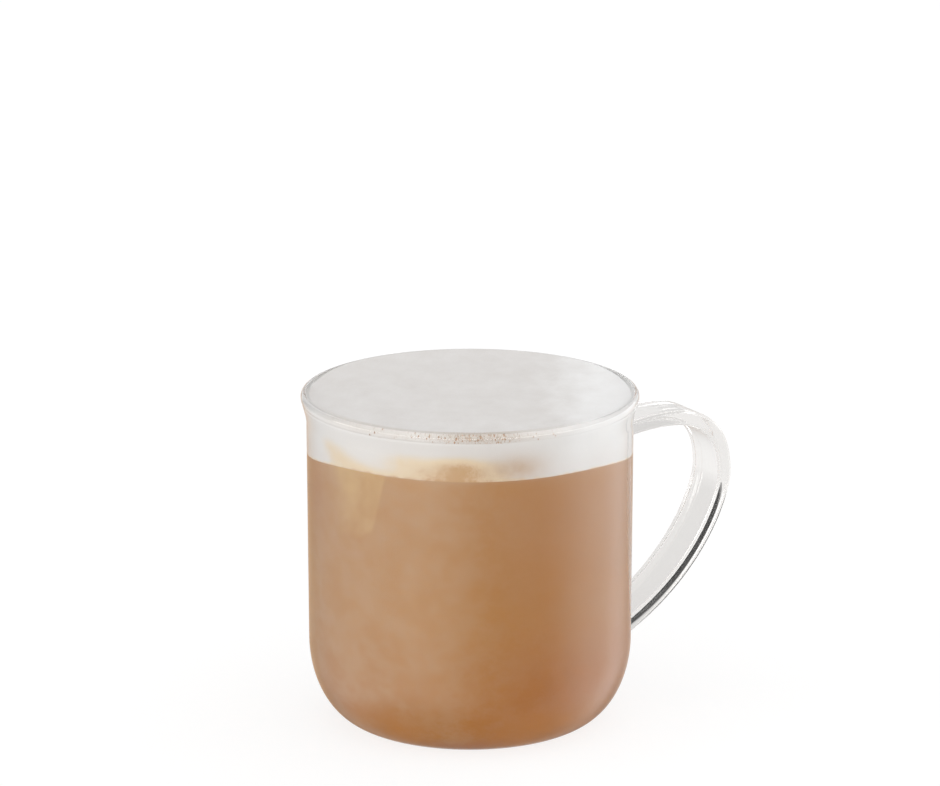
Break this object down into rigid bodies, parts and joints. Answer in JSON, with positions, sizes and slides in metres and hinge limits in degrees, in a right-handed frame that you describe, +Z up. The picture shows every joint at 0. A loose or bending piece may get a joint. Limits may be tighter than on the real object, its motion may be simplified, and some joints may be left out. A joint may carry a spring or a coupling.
{
  "type": "latte in a glass mug",
  "caption": "Milk coffee under a cap of white milk foam, filled to the lip of a clear, straight-walled glass mug with a rounded heel, a flared lip and a flat strap handle.",
  "frame": {"origin": "middle of the mug's flat base, on the axis of the body", "axes": "+Z up along the axis of the body, +X towards the handle"},
  "size_m": [0.1207, 0.0878, 0.0882],
  "materials": {
    "glass": "clear, fire-polished borosilicate glass",
    "coffee": "opaque milky brown liquid, faintly cloudy",
    "foam": "fine, matt white milk foam with beige stains"
  },
  "bodies": {
    "root": {"mug": "glass", "coffee": "coffee", "foam": "foam"}
  },
  "joints": []
}
